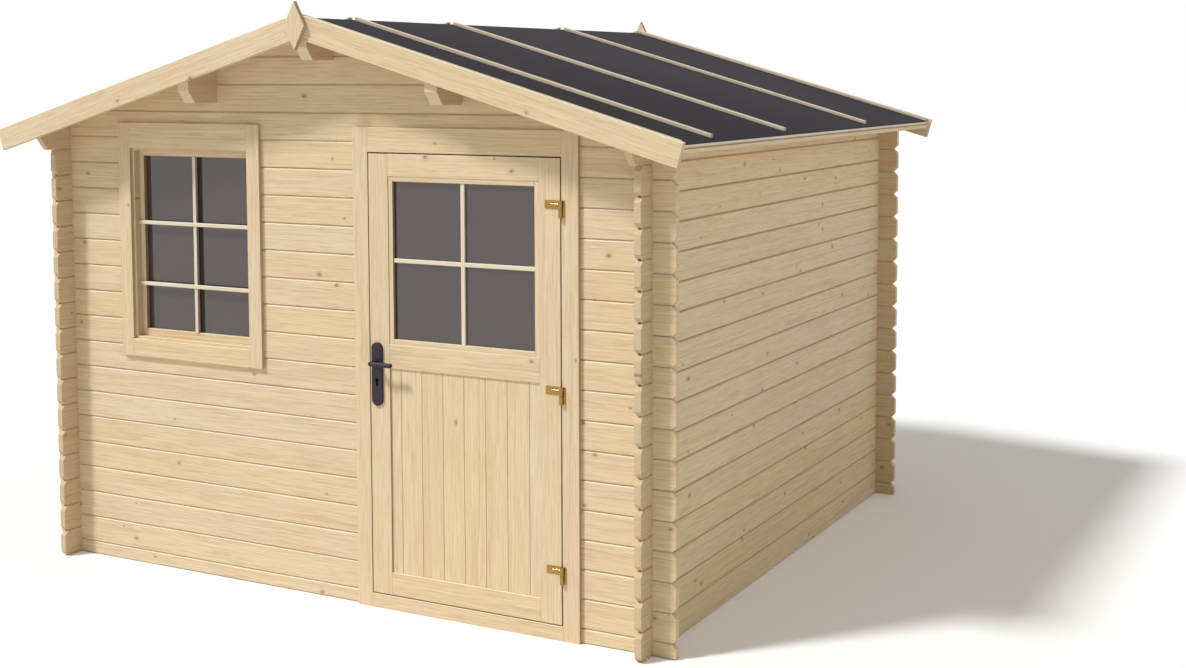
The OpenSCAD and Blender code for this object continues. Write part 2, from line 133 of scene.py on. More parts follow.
def addRod(name, radius, length, centre, axis="Z", sides=32):
    turn = {"X": (0, math.pi / 2, 0), "Y": (math.pi / 2, 0, 0), "Z": (0, 0, 0)}[axis]
    bpy.ops.object.select_all(action="DESELECT")
    bpy.ops.mesh.primitive_cylinder_add(
        vertices=sides, radius=radius, depth=length, location=centre, rotation=turn)
    piece = bpy.context.object
    piece.name = name
    applyPlace(piece)
    return piece


def cutAt(piece, point, outward):
    # takes away what lies beyond a plane and closes the cut
    editAll(piece)
    bpy.ops.mesh.bisect(plane_co=point, plane_no=outward, use_fill=True, clear_outer=True)
    leaveEdit()


def plainCopy(nodeName):
    # a merged copy of a CAD node, free to be reworked
    selectOnly(nodes[nodeName])
    piece = bpy.data.objects.new(nodeName + "Copy", nodes[nodeName].data.copy())
    bpy.context.scene.collection.objects.link(piece)
    editAll(piece)
    bpy.ops.mesh.customdata_custom_splitnormals_clear()
    bpy.ops.mesh.remove_doubles(threshold=mergeGap)
    bpy.ops.mesh.dissolve_limited(angle_limit=math.radians(flatDegrees))
    leaveEdit()
    return piece


def softCopy(nodeName, width=softEdge, segments=2):
    piece = plainCopy(nodeName)
    roundEdges(piece, width, segments)
    return piece


def looseParts(piece):
    selectOnly(piece)
    bpy.ops.mesh.separate(type="LOOSE")
    return list(bpy.context.selected_objects)


# Grain of the timber, and the painted highlight and painted shade of bevels and sides, kept on the
# face corners of each board

timber = {
    "endTone": 0.3,                      # how far a sawn end turns to the sawn colour
    "bevelLight": (1.0, 0.4, -0.3),       # tones of bevels that face up, sideways and down: painted highlight over 0, painted shade under 0
    "placeStep": 3 * mm,                 # a board's random draws hang on its place, rounded to this
    "treePlace": ((0, 30), (-0.07, 0.07), (0.05, 0.15)),     # along, across, off the heart
    "looksAlong": 0.6,                   # from here a face counts as looking along a direction
    "looksFlat": 0.93,                   # a bevel stays under this in every direction
    "bevelTilt": 0.3,                    # from here a bevel faces up or down, or is part of an end
}


def layGrain(piece, along, across, endTone=timber["endTone"], bevelLight=timber["bevelLight"]):
    # keeps on each corner its place along, across and through its own board, the board's random
    # draws, how far its face is a sawn end, and the painted highlight or painted shade of a bevel
    # by the way it faces
    mesh = piece.data
    for name, kind in (("grain", "FLOAT_VECTOR"), ("board", "FLOAT_VECTOR"),
                       ("endFace", "FLOAT"), ("paintedLight", "FLOAT")):
        if name not in mesh.attributes:
            mesh.attributes.new(name, kind, "CORNER")
    basis = Matrix((along, across, Vector(along).cross(Vector(across))))
    middle = sum((v.co for v in mesh.vertices), Vector()) / len(mesh.vertices)
    dice = random.Random(" ".join(str(round(c / timber["placeStep"])) for c in middle))
    shift = Vector([dice.uniform(*span) for span in timber["treePlace"]])
    shift -= basis @ middle
    look = (dice.gauss(0, 1), dice.gauss(0, 1), dice.random())
    places = np.zeros((len(mesh.loops), 3))
    ends = np.zeros(len(mesh.loops))
    edges = np.zeros(len(mesh.loops))
    tilt = timber["bevelTilt"]
    for face in mesh.polygons:
        facing = [abs(c) for c in basis @ face.normal]
        up = face.normal.z
        # bevels that face up get a painted highlight, bevels that face down a painted shade
        paintedTone = bevelLight[0 if up > tilt else 2 if up < -tilt else 1]
        isBevel = max(facing) < timber["looksFlat"] and facing[0] < tilt
        for corner in face.loop_indices:
            places[corner] = basis @ mesh.vertices[mesh.loops[corner].vertex_index].co + shift
            ends[corner] = (facing[0] > timber["looksAlong"]) * endTone
            if isBevel:
                edges[corner] = paintedTone
    mesh.attributes["grain"].data.foreach_set("vector", places.ravel())
    mesh.attributes["board"].data.foreach_set("vector", np.tile(look, len(mesh.loops)))
    mesh.attributes["endFace"].data.foreach_set("value", ends)
    mesh.attributes["paintedLight"].data.foreach_set("value", edges)


def layGrainApart(piece, directions, endTone=timber["endTone"]):
    # a piece of several boards: directions takes a board's middle and gives the two
    # directions of its length and its width
    boards = looseParts(piece)
    for board in boards:
        middle = sum((v.co for v in board.data.vertices), Vector()) / len(board.data.vertices)
        layGrain(board, *directions(middle), endTone)
    return joinPieces(boards, piece.name)


def toneFaces(piece, axis, tone, chosen=lambda middle: True):
    # painted highlight over 0, painted shade under 0, on the faces that look along an axis
    edges = piece.data.attributes["paintedLight"].data
    for face in piece.data.polygons:
        if abs(face.normal.dot(axis)) > timber["looksAlong"] and chosen(face.center):
            for corner in face.loop_indices:
                edges[corner].value = tone
    return piece


def finishPiece(piece, name, body, material, replaced=(), smooth=None):
    piece.name = name
    piece.data.name = name
    piece.data.materials.clear()
    piece.data.materials.append(material)
    if smooth is not None:
        selectOnly(piece)
        bpy.ops.object.shade_smooth_by_angle(angle=math.radians(smooth))
    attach(piece, body)
    if replaced:
        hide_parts(*replaced)
    return piece


def addBoards(name, boards, width=softEdge, bevelLight=timber["bevelLight"]):
    # each board is (low corner, high corner, length direction, width direction)
    made = []
    for low, high, along, across in boards:
        board = addBox(name, low, high)
        editAll(board, "EDGE")
        bpy.ops.mesh.bevel(offset=width, segments=2, affect="EDGES")
        leaveEdit()
        layGrain(board, along, across, bevelLight=bevelLight)
        made.append(board)
    return joinPieces(made, name)


# Materials

def hexToLinear(code):
    channels = [int(code[i:i + 2], 16) / 255 for i in (1, 3, 5)]
    return (*[c / 12.92 if c <= 0.04045 else ((c + 0.055) / 1.055) ** 2.4 for c in channels], 1)


def addNode(tree, kind, settings=None, links=None):
    # settings and links go to the socket in use that has the name or number; a link
    # may be from a socket, or from a node, whose first output in use it then takes
    node = tree.nodes.new("ShaderNode" + kind)
    settings, links = settings or {}, links or {}
    for key in [k for k in settings if isinstance(k, str) and k not in node.inputs]:
        setattr(node, key, settings[key])
    for key, value in (*settings.items(), *links.items()):
        if isinstance(key, int):
            socket = node.inputs[key]
        elif key in node.inputs:
            socket = next(s for s in node.inputs if s.enabled and s.name == key)
        else:
            continue
        if key in links:
            if isinstance(value, bpy.types.Node):
                value = next(s for s in value.outputs if s.enabled)
            tree.links.new(value, socket)
        else:
            socket.default_value = value
    return node


def newMaterial(name):
    material = bpy.data.materials.new(name)
    material.use_nodes = True
    tree = material.node_tree
    tree.nodes.clear()
    surface = addNode(tree, "BsdfPrincipled")
    addNode(tree, "OutputMaterial", links={"Surface": surface})
    return material, tree, surface


spruce = {
    "pale": "#eddab6",           # spring wood
    "honey": "#e9d3a3",          # warmer boards
    "rosy": "#e6ccac",           # pinker boards and patches
    "streak": "#bd9a6c",         # summer wood
    "sawn": "#9c8462",           # sawn ends drink in more light
    "edge": "#fbf0d8",           # painted highlight on bevels that face up and on sides toned paler; also the pale fibre
    "shadeBrown": "#7d6240",         # painted shade on bevels that face down and on sides toned darker
    "knotHeart": "#7d5635",
    "knotRim": "#a37a50",
    "ringMm": 9.0,               # year rings, drawn coarser than the real 3 mm so that they show
    "wobbleMm": 14.0,
    "fibreMm": (280, 5.5),       # length and width of a streak, drawn coarser than real
    "fineFibreMm": (95, 3.2),
    "patchMm": (450, 110),
    "knotGapMm": (430, 105),     # along and across the board
    "knotLong": 0.7,             # under 1 draws a knot longer along the board
    "knotRadiusMm": (3.0, 8.0),
    "knotWarpMm": 5.0,           # how far a knot's outline strays
    "knotShare": 0.34,           # share of those places that hold one
    "ringStrength": 0.42,
    "ringSharpness": 2.4,        # how late in a ring its dark part starts
    "ringBulgeMm": 6,            # how far the rings give way to a knot
    "ringDepth": 0.6,            # of their dark part in the bump
    "wander": (1.3, 9, 9),       # how often rings stray, per metre along and across
    "ringPatches": (0.9, 20, 20),
    "fineShare": 0.55,           # share of the fine fibre in the streaks
    "fibreStrength": 0.4,
    "paleFibre": 0.35,
    "rosyBoard": 0.6,
    "rosyPatch": 0.42,
    "haloStrength": 0.3,         # browner wood round a knot
    "knotStrength": 0.55,
    "sawnStrength": 0.85,
    # strengths of the painted highlight and the painted shade
    "highlightStrength": 1.0,
    "shadeStrength": 1.2,
    "bumpStrength": 0.3,
    "bumpMm": 0.4,
    "roughness": (0.5, 0.8),
    "specular": 0.3,
    "fades": {                   # where a pattern starts and where it is full
        "knot": (1.3, 0.6),      # in shares of the knot's radius
        "halo": (3.0, 0.7),
        "knotRim": (0.45, 0.95),
        "ringEnd": (1.0, 0.88),  # in shares of a ring
        "ringPatch": (0.3, 0.7),
        "darkFibre": (0.48, 0.64),
        "lightFibre": (0.5, 0.33),
        "rosyPatch": (0.42, 0.66),
        "honeyBoard": (-3.5, 3.5),
    },
    "rosyBoards": (-3.5, 4.5),   # as these, but without a soft start and end
}


def makePlanedSpruce(name, look):
    # planed spruce, untreated: matt and pale, with soft rings, fibre streaks and small knots
    material, tree, surface = newMaterial(name)
    tone = {key: hexToLinear(value) for key, value in look.items() if isinstance(value, str)}
    fade = {key: {"interpolation_type": "SMOOTHSTEP", "From Min": start, "From Max": full}
            for key, (start, full) in look["fades"].items()}

    def add(kind, settings=None, links=None):
        return addNode(tree, kind, settings, links)

    grain = add("Attribute", {"attribute_name": "grain"}).outputs["Vector"]
    board = add("Attribute", {"attribute_name": "board"}).outputs["Vector"]
    endFace = add("Attribute", {"attribute_name": "endFace"}).outputs["Fac"]
    paintedLight = add("Attribute", {"attribute_name": "paintedLight"}).outputs["Fac"]
    boardLook = add("SeparateXYZ", None, {0: board})

    # knots: one place in each stretched cell, and only some cells have one
    gapAlong, gapAcross = (g * mm for g in look["knotGapMm"])
    stretched = add("VectorMath", {"operation": "MULTIPLY", 1: (1 / gapAlong, 1 / gapAcross, 0)},
                    {0: grain})
    cells = add("TexVoronoi", {"voronoi_dimensions": "2D", "Scale": 1.0}, {"Vector": stretched})
    away = add("VectorMath", {"operation": "SUBTRACT"},
               {0: stretched, 1: cells.outputs["Position"]})
    away = add("VectorMath", {"operation": "MULTIPLY",
                              1: (gapAlong * look["knotLong"], gapAcross, 0)}, {0: away})
    warp = look["knotWarpMm"] * mm
    stray = add("TexNoise", {"Scale": 0.6 / warp, "Detail": 2.0}, {"Vector": grain})
    stray = add("VectorMath", {"operation": "MULTIPLY_ADD", 1: (warp, warp, 0),
                               2: (-warp / 2, -warp / 2, 0)}, {0: stray.outputs["Color"]})
    away = add("VectorMath", {"operation": "ADD"}, {0: away, 1: stray})
    away = add("VectorMath", {"operation": "LENGTH"}, {0: away}).outputs["Value"]
    lot = add("SeparateColor", None, {0: cells.outputs["Color"]}).outputs[0]
    limit = 1 - look["knotShare"]
    smallest, largest = (r * mm for r in look["knotRadiusMm"])
    hasKnot = add("Math", {"operation": "GREATER_THAN", 1: limit}, {0: lot})
    radius = add("MapRange", {"From Min": limit, "From Max": 1.0,
                              "To Min": smallest, "To Max": largest}, {"Value": lot})
    share = add("Math", {"operation": "DIVIDE"}, {0: away, 1: radius})
    knot = add("MapRange", fade["knot"], {"Value": share})
    knot = add("Math", {"operation": "MULTIPLY"}, {0: knot, 1: hasKnot})
    halo = add("MapRange", fade["halo"], {"Value": share})
    halo = add("Math", {"operation": "MULTIPLY"}, {0: halo, 1: hasKnot})

    # year rings round a heart that lies behind the board, bulging round the knots
    section = add("VectorMath", {"operation": "MULTIPLY", 1: (0, 1, 1)}, {0: grain})
    heart = add("VectorMath", {"operation": "LENGTH"}, {0: section}).outputs["Value"]
    slow = add("VectorMath", {"operation": "MULTIPLY", 1: look["wander"]}, {0: grain})
    wander = add("TexNoise", {"Scale": 1.0, "Detail": 3.0, "Roughness": 0.55}, {"Vector": slow})
    wander = add("MapRange", {"To Min": -look["wobbleMm"] * mm, "To Max": look["wobbleMm"] * mm},
                 {"Value": wander})
    ring = add("Math", {"operation": "ADD"}, {0: heart, 1: wander})
    ring = add("Math", {"operation": "MULTIPLY_ADD", 1: look["ringBulgeMm"] * mm},
               {0: halo, 2: ring})
    ring = add("Math", {"operation": "DIVIDE", 1: look["ringMm"] * mm}, {0: ring})
    ring = add("Math", {"operation": "FRACT"}, {0: ring})
    rise = add("Math", {"operation": "POWER", 1: look["ringSharpness"]}, {0: ring})
    fall = add("MapRange", fade["ringEnd"], {"Value": ring})
    late = add("Math", {"operation": "MULTIPLY"}, {0: rise, 1: fall})
    patchy = add("VectorMath", {"operation": "MULTIPLY", 1: look["ringPatches"]}, {0: grain})
    patchy = add("TexNoise", {"Scale": 1.0, "Detail": 2.0}, {"Vector": patchy})
    patchy = add("MapRange", fade["ringPatch"], {"Value": patchy})
    late = add("Math", {"operation": "MULTIPLY"}, {0: late, 1: patchy})

    # fibre streaks, broad and fine
    streaks = []
    for key in ("fibreMm", "fineFibreMm"):
        long, wide = (1 / (size * mm) for size in look[key])
        place = add("VectorMath", {"operation": "MULTIPLY", 1: (long, wide, wide)}, {0: grain})
        streaks.append(add("TexNoise", {"Scale": 1.0, "Detail": 3.0, "Roughness": 0.65},
                           {"Vector": place}))
    fibre = add("Mix", {"Factor": look["fineShare"]}, {"A": streaks[0], "B": streaks[1]})
    dark = add("MapRange", fade["darkFibre"], {"Value": fibre})
    light = add("MapRange", fade["lightFibre"], {"Value": fibre})
    long, wide = (1 / (size * mm) for size in look["patchMm"])
    patch = add("VectorMath", {"operation": "MULTIPLY", 1: (long, wide, wide)}, {0: grain})
    patch = add("TexNoise", {"Scale": 1.0, "Detail": 3.0}, {"Vector": patch})
    patch = add("MapRange", fade["rosyPatch"], {"Value": patch})

    # colour: the board's own tint, then patches, rings, streaks, knots, sawn ends, and the painted
    # highlight and painted shade of bevels and sides
    tint = add("MapRange", fade["honeyBoard"], {"Value": boardLook.outputs[0]})
    start, full = look["rosyBoards"]
    hue = add("MapRange", {"From Min": start, "From Max": full}, {"Value": boardLook.outputs[1]})
    rgb = {"data_type": "RGBA"}
    colour = add("Mix", {**rgb, "A": tone["pale"], "B": tone["honey"]}, {"Factor": tint})
    layers = (
        (look["rosyBoard"], hue, "rosy"), (look["rosyPatch"], patch, "rosy"),
        (look["ringStrength"], late, "streak"), (look["fibreStrength"], dark, "streak"),
        (look["paleFibre"], light, "edge"), (look["haloStrength"], halo, "streak"),
        (look["sawnStrength"], endFace, "sawn"),
        (look["highlightStrength"], paintedLight, "edge"), (-look["shadeStrength"], paintedLight, "shadeBrown"))
    for amount, factor, key in layers:
        factor = add("Math", {"operation": "MULTIPLY", 1: amount, "use_clamp": True}, {0: factor})
        colour = add("Mix", {**rgb, "B": tone[key]}, {"Factor": factor, "A": colour})
    rim = add("MapRange", fade["knotRim"], {"Value": share})
    knotTone = add("Mix", {**rgb, "A": tone["knotHeart"], "B": tone["knotRim"]}, {"Factor": rim})
    factor = add("Math", {"operation": "MULTIPLY", 1: look["knotStrength"]}, {0: knot})
    colour = add("Mix", rgb, {"Factor": factor, "A": colour, "B": knotTone})
    tree.links.new(colour.outputs[2], surface.inputs["Base Color"])

    height = add("Math", {"operation": "MULTIPLY_ADD", 1: -look["ringDepth"]}, {0: late, 2: fibre})
    bump = add("Bump", {"Strength": look["bumpStrength"], "Distance": look["bumpMm"] * mm},
               {"Height": height})
    tree.links.new(bump.outputs[0], surface.inputs["Normal"])
    smoothest, roughest = look["roughness"]
    rough = add("MapRange", {"To Min": smoothest, "To Max": roughest}, {"Value": fibre})
    tree.links.new(rough.outputs[0], surface.inputs["Roughness"])
    surface.inputs["Specular IOR Level"].default_value = look["specular"]
    return material


# glazing bars and the narrow eave laths: a thin coat of pale primer leaves little grain to see
primed = {
    "pale": "#efe3cb", "honey": "#ecddbd", "rosy": "#ead9c2", "streak": "#cdb797",
    # the pale edge colour is the painted highlight of the bevels and lit sides
    "sawn": "#cbb89d", "edge": "#fbf4e8", "knotHeart": "#c2a27c", "knotRim": "#a98d6c",
    "knotShare": 0.1, "ringStrength": 0.2, "fibreStrength": 0.25,
}

# battens and verge laths: cheaper wood, a little weathered
greyed = {
    "pale": "#dccfb6", "honey": "#d8c8a9", "rosy": "#d6c6ad", "streak": "#b39f7d",
    # the pale edge and the brown after it are the painted highlight and painted shade of the bevels
    # and sides
    "sawn": "#c2b090", "edge": "#ebe0c9", "shadeBrown": "#95825f",
    "knotShare": 0.1, "ringStrength": 0.3,
}

felt = {
    "black": "#302e32",
    "grit": "#454348",
    "gritMm": 3.0,               # mineral grit, drawn coarser than the real 1 mm
    "gritSpread": (0.35, 0.75),  # where its pale share starts and is full
    "patchMm": 160,
    "patchShade": (0.88, 1.12),
    "bumpStrength": 0.5,
    "bumpMm": 0.5,
    "roughness": 0.95,
    "specular": 0.1,
}


def makeBitumenFelt():
    # mineral-faced bitumen felt: rough, nearly black, with fine grit and faint rolling marks
    material, tree, surface = newMaterial("bitumenFelt")
    place = addNode(tree, "TexCoord").outputs["Object"]
    grit = addNode(tree, "TexNoise", {"Scale": 1 / (felt["gritMm"] * mm), "Detail": 2.0,
                                      "Roughness": 0.7}, {"Vector": place})
    patch = addNode(tree, "TexNoise", {"Scale": 1 / (felt["patchMm"] * mm), "Detail": 3.0},
                    {"Vector": place})
    start, full = felt["gritSpread"]
    speck = addNode(tree, "MapRange", {"From Min": start, "From Max": full}, {"Value": grit})
    colour = addNode(tree, "Mix", {"data_type": "RGBA", "A": hexToLinear(felt["black"]),
                                   "B": hexToLinear(felt["grit"])}, {"Factor": speck})
    darkest, lightest = felt["patchShade"]
    shade = addNode(tree, "MapRange", {"To Min": darkest, "To Max": lightest}, {"Value": patch})
    tone = addNode(tree, "VectorMath", {"operation": "SCALE"}, {0: colour, "Scale": shade})
    tree.links.new(tone.outputs[0], surface.inputs["Base Color"])
    bump = addNode(tree, "Bump", {"Strength": felt["bumpStrength"],
                                  "Distance": felt["bumpMm"] * mm}, {"Height": grit})
    tree.links.new(bump.outputs[0], surface.inputs["Normal"])
    surface.inputs["Roughness"].default_value = felt["roughness"]
    surface.inputs["Specular IOR Level"].default_value = felt["specular"]
    return material


glass = {
    # painted shade for the room behind the pane
    "dark": "#463d3b",
    "roughness": 0.02,
    "wavesMm": 350,
    "waveShade": (0.95, 1.05),
    "refraction": 1.5,
    "specular": 1.0,             # twice the usual, for two faces
}


def makeFloatGlass():
    # float glass, drawn opaque: its near-black colour is painted shade for the dark room behind,
    # with the clean reflection of both faces on top
    material, tree, surface = newMaterial("floatGlass")
    place = addNode(tree, "TexCoord").outputs["Object"]
    waves = addNode(tree, "TexNoise", {"Scale": 1 / (glass["wavesMm"] * mm), "Detail": 1.0},
                    {"Vector": place})
    darkest, lightest = glass["waveShade"]
    shade = addNode(tree, "MapRange", {"To Min": darkest, "To Max": lightest}, {"Value": waves})
    tone = addNode(tree, "VectorMath", {"operation": "SCALE", 0: hexToLinear(glass["dark"])[:3]},
                   {"Scale": shade})
    tree.links.new(tone.outputs[0], surface.inputs["Base Color"])
    surface.inputs["Roughness"].default_value = glass["roughness"]
    surface.inputs["IOR"].default_value = glass["refraction"]
    surface.inputs["Specular IOR Level"].default_value = glass["specular"]
    return material


zinc = {
    "yellow": "#bb913c",
    "dull": "#86611c",
    "metallic": 0.8,
    "roughness": 0.24,
    "cloudMm": 6,
    "lacquer": 1.0,
    "lacquerRoughness": 0.1,
}


def makeYellowZinc():
    # yellow-passivated zinc on pressed steel: golden and softly mirror-like, a little cloudy
    material, tree, surface = newMaterial("yellowZincPlate")
    place = addNode(tree, "TexCoord").outputs["Object"]
    cloud = addNode(tree, "TexNoise", {"Scale": 1 / (zinc["cloudMm"] * mm), "Detail": 3.0},
                    {"Vector": place})
    colour = addNode(tree, "Mix", {"data_type": "RGBA", "A": hexToLinear(zinc["yellow"]),
                                   "B": hexToLinear(zinc["dull"])}, {"Factor": cloud})
    tree.links.new(colour.outputs[2], surface.inputs["Base Color"])
    surface.inputs["Metallic"].default_value = zinc["metallic"]
    surface.inputs["Roughness"].default_value = zinc["roughness"]
    surface.inputs["Coat Weight"].default_value = zinc["lacquer"]
    surface.inputs["Coat Roughness"].default_value = zinc["lacquerRoughness"]
    return material


handleCoat = {
    "black": "#312c33",
    # near black: painted shade for the depth of the keyhole
    "lock": "#0e0d0f",
    "peelMm": 0.8,
    "bumpStrength": 0.3,
    "bumpMm": 0.05,
    "roughness": 0.45,
    "specular": 0.3,
}


def makePowderCoat(name, key):
    # powder coat on cast metal: near black, satin, with a very fine orange-peel grain
    material, tree, surface = newMaterial(name)
    place = addNode(tree, "TexCoord").outputs["Object"]
    peel = addNode(tree, "TexNoise", {"Scale": 1 / (handleCoat["peelMm"] * mm), "Detail": 1.0},
                   {"Vector": place})
    bump = addNode(tree, "Bump", {"Strength": handleCoat["bumpStrength"],
                                  "Distance": handleCoat["bumpMm"] * mm}, {"Height": peel})
    tree.links.new(bump.outputs[0], surface.inputs["Normal"])
    surface.inputs["Base Color"].default_value = hexToLinear(handleCoat[key])
    surface.inputs["Specular IOR Level"].default_value = handleCoat["specular"]
    surface.inputs["Roughness"].default_value = handleCoat["roughness"]
    return material


planedSpruce = makePlanedSpruce("planedSpruce", spruce)
primedSpruce = makePlanedSpruce("primedSpruce", {**spruce, **primed})
greyedSpruce = makePlanedSpruce("greyedSpruce", {**spruce, **greyed})
bitumenFelt = makeBitumenFelt()
floatGlass = makeFloatGlass()
yellowZinc = makeYellowZinc()
powderCoat = makePowderCoat("powderCoatedSteel", "black")
keyholeShade = makePowderCoat("keyholeShadeBlack", "lock")
print("materials made")


def finishWood(piece, name, *replaced, body="shed", wood=planedSpruce):
    return finishPiece(piece, name, body, wood, replaced)


# Log walls: each wall is sawn into its logs, with a hair of a gap that a tongue closes

walls = {
    "front": {                           # and rear
        "edge": 1.6 * mm,                # rounding of a log
        "gap": 0.8 * mm,                 # between two logs
        "endTone": 0.12,
        # painted highlight on the up-facing bevels, painted shade on those facing down
        "bevelLight": (0.55, 0.1, -0.3),
    },
    # side walls: painted shade on every bevel
    "side": {"edge": 0.8 * mm, "gap": 1.1 * mm, "endTone": 0.3, "bevelLight": (-0.15, -0.1, -0.3)},
    "tongueTall": 8 * mm,
    "tongueThick": 0.5,                  # share of a log's thickness
    "tailSideShade": -0.22,                  # painted shade on the side faces of the log tails, in their corners
}

# where the outer faces of the walls meet
crossing = Vector((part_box("right_wall")[1].x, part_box("rear_wall")[1].y, 0))
logCount = 16                            # whole logs under the top log of a side wall
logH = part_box("left_wall")[1].z / logCount


def cutBetween(piece, bottom, top):
    part = duplicatePiece(piece, piece.name + "Log")
    if bottom is not None:
        cutAt(part, (0, 0, bottom), (0, 0, -1))
    if top is not None:
        cutAt(part, (0, 0, top), (0, 0, 1))
    return part


def makeLogWall(name, firstSeam, along, thin):
    side = thin == 0
    plan = walls["side" if side else "front"]
    gap = plan["gap"]
    wall = plainCopy(name)
    for end in (-1, 1):
        # the faces of the tails are parted from those of the wall, so that painted shade can go on
        # their sides
        editAll(wall)
        bpy.ops.mesh.bisect(plane_co=end * crossing, plane_no=along)
        leaveEdit()
    low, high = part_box(name)
    tongueTall, tongueThick = walls["tongueTall"], walls["tongueThick"]
    seams = [firstSeam + i * logH for i in range(2 * logCount)]
    seams = [z for z in seams if low.z + tongueTall < z < high.z - tongueTall]
    logs = []
    for bottom, top in zip([None, *seams], [*seams, None]):
        log = cutBetween(wall, bottom and bottom + gap / 2, top and top - gap / 2)
        roundEdges(log, plan["edge"])
        logs.append(log)
    for z in seams:
        tongue = cutBetween(wall, z - tongueTall / 2, z + tongueTall / 2)
        tongue.scale[thin] = tongueThick
        tongue.location[thin] = (low[thin] + high[thin]) / 2 * (1 - tongueThick)
        applyPlace(tongue)
        logs.append(tongue)
    for log in logs:
        layGrain(log, along, zAxis, plan["endTone"], plan["bevelLight"])
        # painted shade on the side faces of the tails
        if side or name == "rear_wall":
            toneFaces(log, xAxis if side else yAxis, walls["tailSideShade"],
                      lambda middle: abs(middle.dot(along)) > crossing.dot(along))
    bpy.data.objects.remove(wall)
    finishWood(joinPieces(logs, name), name + "_logs", name)


for name in ("front_wall_left", "front_wall_right", "front_gable", "rear_wall"):
    makeLogWall(name, logH / 2, xAxis, 1)
for name in ("left_wall", "right_wall", "left_top_log", "right_top_log"):
    makeLogWall(name, 0, yAxis, 0)
print("log walls done")


# Purlins, laths, battens, bargeboards and finials

roofTimber = {
    "edge": 1.8 * mm,
    # painted shade on the sides of the purlins
    "beamSideShade": -0.25,
    "beamNoseLight": 0.12,           # painted highlight on the noses of the purlins
    "finialSideShade": -0.45,        # painted shade on the finial's sides
    "eaveThick": 15 * mm,
    "eaveUpper": 10 * mm,        # height of the narrow lath
    "eaveGap": 6 * mm,
    "eaveWeb": 0.25,             # share of the lath's thickness
    "webOverlap": 2 * mm,        # how far the web reaches into each lath
    "facesUp": 0.5,              # the slope is read from the largest face that looks up more
}


def slopeOf(name):
    faces = [f for f in nodes[name].data.polygons if f.normal.z > roofTimber["facesUp"]]
    top = max(faces, key=lambda f: f.area)
    return math.acos(top.normal.z)


pitch = slopeOf("right_roof_felt")


def downSlope(middle):
    side = 1 if middle.x > 0 else -1
    return Vector((side * math.cos(pitch), 0, -math.sin(pitch))), yAxis


def downSlopeUpright(middle):
    along = downSlope(middle)[0]
    return along, along.cross(yAxis)


def deep(middle):
    return yAxis, zAxis


def tall(middle):
    return zAxis, xAxis


def level(middle):
    return xAxis, zAxis


def dressNode(name, suffix, directions, edge=roofTimber["edge"], body="shed", wood=planedSpruce,
              endTone=timber["endTone"]):
    piece = layGrainApart(softCopy(name, edge), directions, endTone)
    return finishWood(piece, name + suffix, name, body=body, wood=wood)


for name in ("ridge_purlin", "left_purlin", "right_purlin"):
    beam = dressNode(name, "_beam", deep, endTone=0)
    toneFaces(toneFaces(beam, xAxis, roofTimber["beamSideShade"]), yAxis, roofTimber["beamNoseLight"])
for name in ("roof_battens", "left_verge_laths", "right_verge_laths"):
    dressNode(name, "_planed", downSlope, wood=greyedSpruce)
for name in ("left_bargeboards", "right_bargeboards"):
    dressNode(name, "_planed", downSlopeUpright)
for name in ("front_finial", "rear_finial"):
    toneFaces(dressNode(name, "_planed", tall), xAxis, roofTimber["finialSideShade"])


def makeEaveLaths():
    # on each side a narrow lath above a wider one, held apart by a thinner web in their shadow
    low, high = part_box("eave_laths")
    thick, overlap = roofTimber["eaveThick"], roofTimber["webOverlap"]
    upper = high.z - roofTimber["eaveUpper"]
    lower = upper - roofTimber["eaveGap"]
    narrow, wide = [], []
    for inner in (low.x, high.x - thick):
        outer = inner + thick
        narrow.append(((inner, low.y, upper), (outer, high.y, high.z), yAxis, zAxis))
        wide.append(((inner, low.y, low.z), (outer, high.y, lower), yAxis, zAxis))
        web = thick * roofTimber["eaveWeb"]
        start = outer - web if inner == low.x else inner
        wide.append(((start, low.y, lower - overlap), (start + web, high.y, upper + overlap),
                     yAxis, zAxis))
    finishWood(addBoards("narrowLaths", narrow), "eave_laths_narrow", wood=primedSpruce)
    finishWood(addBoards("wideLaths", wide), "eave_laths_planed", "eave_laths")


makeEaveLaths()
print("roof timber done")


# Roof boards, tongued and grooved, running down the slope

roofBoards = {"width": 96 * mm, "edge": 2.5 * mm, "feltEdge": 0.8 * mm}


def makeRoofBoards(name, side):
    low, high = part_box(name)
    run = high.x - low.x
    thickness = ((high.z - low.z) - run * math.tan(pitch)) * math.cos(pitch)
    count = round((high.y - low.y) / roofBoards["width"])
    width = (high.y - low.y) / count
    reach = thickness * math.tan(pitch)
    ends = sorted((-side * reach, side * (run / math.cos(pitch) + reach)))
    first = addBox(name + "Board", (ends[0], low.y, 0), (ends[1], low.y + width, thickness))
    editAll(first, "EDGE")
    bpy.ops.mesh.bevel(offset=roofBoards["edge"], segments=1, affect="EDGES")
    leaveEdit()
    boards = [first] + [duplicatePiece(first, name + "Board", (0, i * width, 0))
                        for i in range(1, count)]
    for board in boards:
        layGrain(board, xAxis, yAxis)
    whole = joinPieces(boards, name + "Boards")
    whole.rotation_euler = (0, side * pitch, 0)
    whole.location.z = high.z - thickness / math.cos(pitch)
    applyPlace(whole)
    cutAt(whole, (0, 0, 0), (-side, 0, 0))
    cutAt(whole, (high.x if side > 0 else low.x, 0, 0), (side, 0, 0))
    finishWood(whole, name + "_planks", name)


makeRoofBoards("right_roof_boards", 1)
makeRoofBoards("left_roof_boards", -1)
for name in ("left_roof_felt", "right_roof_felt"):
    finishPiece(softCopy(name, roofBoards["feltEdge"]), name + "_sheet", "shed",
                bitumenFelt, (name,))
print("roof covering done")


# Floor

floorBoards = {"width": 96 * mm, "edge": 1 * mm}


